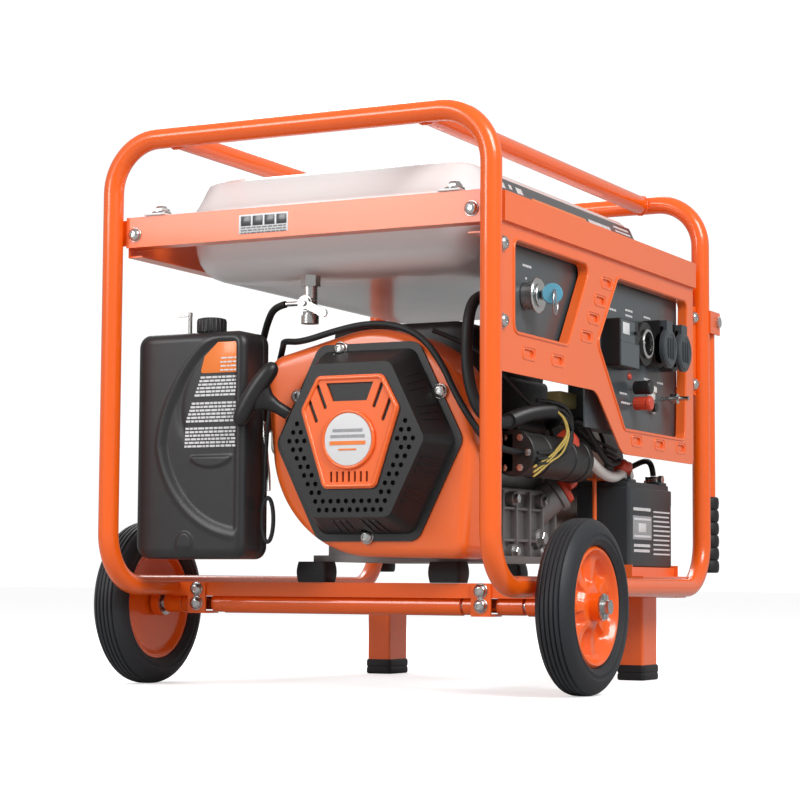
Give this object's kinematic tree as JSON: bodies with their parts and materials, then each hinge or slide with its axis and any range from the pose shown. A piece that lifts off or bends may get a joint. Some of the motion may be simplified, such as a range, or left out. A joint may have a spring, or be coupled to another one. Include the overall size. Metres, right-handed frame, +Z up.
{
  "type": "portable generator",
  "caption": "Open-frame petrol generator on two wheels and two legs, with a fuel tank, recoil-start engine, alternator, battery, control panel and fold-down handles.",
  "frame": {"origin": "on the floor, under the middle of the whole generator's box", "axes": "+X from the recoil starter towards the lifting handles, -Y out of the control panel, +Z up"},
  "size_m": [0.7734, 0.682, 0.6927],
  "materials": {
    "frame_orange": "glossy orange powder coat",
    "sheet_orange": "glossy orange sheet",
    "tank_white": "gloss white",
    "black_plastic": "moulded black",
    "grey_plate": "satin dark grey",
    "grey_plastic": "moulded grey",
    "zinc": "bright zinc plate",
    "alloy": "as-cast alloy",
    "steel": "machined steel",
    "iron": "dark iron",
    "rubber": "black rubber",
    "tyre_rubber": "solid rubber tyre",
    "red_plastic": "red plastic",
    "battery_case": "dark grey case"
  },
  "bodies": {
    "frame": {"front_hoop": "frame_orange", "rear_hoop": "frame_orange", "frame_rails": "frame_orange", "post_brackets": "frame_orange", "axle_clamps": "frame_orange", "axle": "zinc", "stand_legs": "frame_orange", "leg_shoes": "rubber", "tank_cradle": "sheet_orange", "flange_bolts": "zinc", "tank_lower_shell": "tank_white", "tank_upper_shell": "tank_white", "fuel_tap": "zinc", "fascia": "sheet_orange", "control_plates": "grey_plate", "ignition_switch": "zinc", "breaker_body": "black_plastic", "power_sockets": "black_plastic", "terminals": "zinc", "battery": "battery_case", "battery_tray": "sheet_orange", "alternator_housing": "iron", "crankcase": "alloy", "cylinder": "alloy", "rocker_cover": "alloy", "blower_housing": "sheet_orange", "recoil_cover": "black_plastic", "recoil_insert": "sheet_orange", "starter_motor": "iron", "engine_mounts": "rubber", "carburettor": "alloy", "air_cleaner_base": "black_plastic", "air_cleaner_cover": "black_plastic", "muffler": "steel", "hoses_and_leads": "rubber"},
    "left_wheel": {"rim_left": "frame_orange", "tyre_left": "tyre_rubber"},
    "right_wheel": {"rim_right": "frame_orange", "tyre_right": "tyre_rubber"},
    "left_handle": {"handle_left": "frame_orange", "grip_left": "rubber"},
    "right_handle": {"handle_right": "frame_orange", "grip_right": "rubber"},
    "crank_train": {"crankshaft": "steel", "flywheel": "alloy", "alternator_rotor": "iron"},
    "pulley": {"recoil_pulley": "black_plastic"},
    "pull_grip": {"starter_grip": "black_plastic"},
    "filler_cap": {"fuel_cap": "black_plastic"},
    "dipstick": {"oil_plug": "red_plastic"},
    "tap_lever": {"fuel_tap_lever": "zinc"},
    "choke": {"choke_lever": "zinc"},
    "cleaner_knob": {"air_cleaner_knob": "black_plastic"},
    "key": {"ignition_key": "steel"},
    "breaker_toggle": {"breaker_lever": "black_plastic"},
    "lid_1": {"socket_lid_1": "grey_plastic"},
    "lid_2": {"socket_lid_2": "grey_plastic"},
    "black_knob": {"dc_knob_black": "black_plastic"},
    "red_knob": {"dc_knob_red": "red_plastic"},
    "push_button": {"dc_button": "black_plastic"}
  },
  "joints": [
    {"name": "left_wheel_spin", "type": "hinge", "parent": "frame", "child": "left_wheel", "pos_m": [-0.211, 0.306, 0.105], "axis": [0, 1, 0], "continuous": true},
    {"name": "right_wheel_spin", "type": "hinge", "parent": "frame", "child": "right_wheel", "pos_m": [-0.211, -0.306, 0.105], "axis": [0, 1, 0], "continuous": true},
    {"name": "left_handle_fold", "type": "hinge", "parent": "frame", "child": "left_handle", "pos_m": [0.3717, 0.26, 0.508], "axis": [0, -1, 0], "range_deg": [0, 90]},
    {"name": "right_handle_fold", "type": "hinge", "parent": "frame", "child": "right_handle", "pos_m": [0.3717, -0.26, 0.508], "axis": [0, -1, 0], "range_deg": [0, 90]},
    {"name": "crank_spin", "type": "hinge", "parent": "frame", "child": "crank_train", "pos_m": [0, -0.064, 0.301], "axis": [1, 0, 0], "continuous": true},
    {"name": "starter_pull", "type": "slide", "parent": "frame", "child": "pull_grip", "axis": [-0.5025, 0.7035, 0.5025], "range_m": [0, 0.5], "stiffness_N_per_m": 30},
    {"name": "recoil_pulley_spin", "type": "hinge", "parent": "frame", "child": "pulley", "pos_m": [-0.33, -0.064, 0.301], "axis": [1, 0, 0], "range_deg": [0, 600]},
    {"name": "fuel_cap_turn", "type": "hinge", "parent": "frame", "child": "filler_cap", "pos_m": [-0.06, 0.04, 0.65], "axis": [0, 0, 1], "range_deg": [0, 90]},
    {"name": "oil_plug_turn", "type": "hinge", "parent": "frame", "child": "dipstick", "pos_m": [0.008, -0.184, 0.252], "axis": [0.4243, -0.7071, 0.5657], "range_deg": [0, 360]},
    {"name": "fuel_tap_turn", "type": "hinge", "parent": "frame", "child": "tap_lever", "pos_m": [-0.286, 0.026, 0.474], "axis": [1, 0, 0], "range_deg": [0, 90]},
    {"name": "choke_turn", "type": "hinge", "parent": "frame", "child": "choke", "pos_m": [-0.318, 0.18, 0.45], "axis": [0, 0, 1], "range_deg": [0, 80]},
    {"name": "cleaner_knob_turn", "type": "hinge", "parent": "frame", "child": "cleaner_knob", "pos_m": [-0.312, 0.152, 0.45], "axis": [0, 0, 1], "continuous": true},
    {"name": "key_turn", "type": "hinge", "parent": "frame", "child": "key", "pos_m": [-0.25, -0.26, 0.474], "axis": [0, -1, 0], "range_deg": [0, 60]},
    {"name": "breaker_toggle_throw", "type": "hinge", "parent": "frame", "child": "breaker_toggle", "pos_m": [0.042, -0.269, 0.458], "axis": [1, 0, 0], "range_deg": [-25, 25]},
    {"name": "lid_1_open", "type": "hinge", "parent": "frame", "child": "lid_1", "pos_m": [0.16, -0.268, 0.484], "axis": [-1, 0, 0], "range_deg": [0, 110], "stiffness_Nm_per_rad": 0.02},
    {"name": "lid_2_open", "type": "hinge", "parent": "frame", "child": "lid_2", "pos_m": [0.218, -0.268, 0.484], "axis": [-1, 0, 0], "range_deg": [0, 110], "stiffness_Nm_per_rad": 0.02},
    {"name": "black_knob_turn", "type": "hinge", "parent": "frame", "child": "black_knob", "pos_m": [0.096, -0.26, 0.392], "axis": [0, -1, 0], "continuous": true},
    {"name": "red_knob_turn", "type": "hinge", "parent": "frame", "child": "red_knob", "pos_m": [0.096, -0.26, 0.371], "axis": [0, -1, 0], "continuous": true},
    {"name": "dc_button_push", "type": "slide", "parent": "frame", "child": "push_button", "axis": [0, 1, 0], "range_m": [0, 0.0025], "stiffness_N_per_m": 400}
  ],
  "couplings": [
    {"joint": "recoil_pulley_spin", "follows": "starter_pull", "rad_per_m": 20.8}
  ]
}
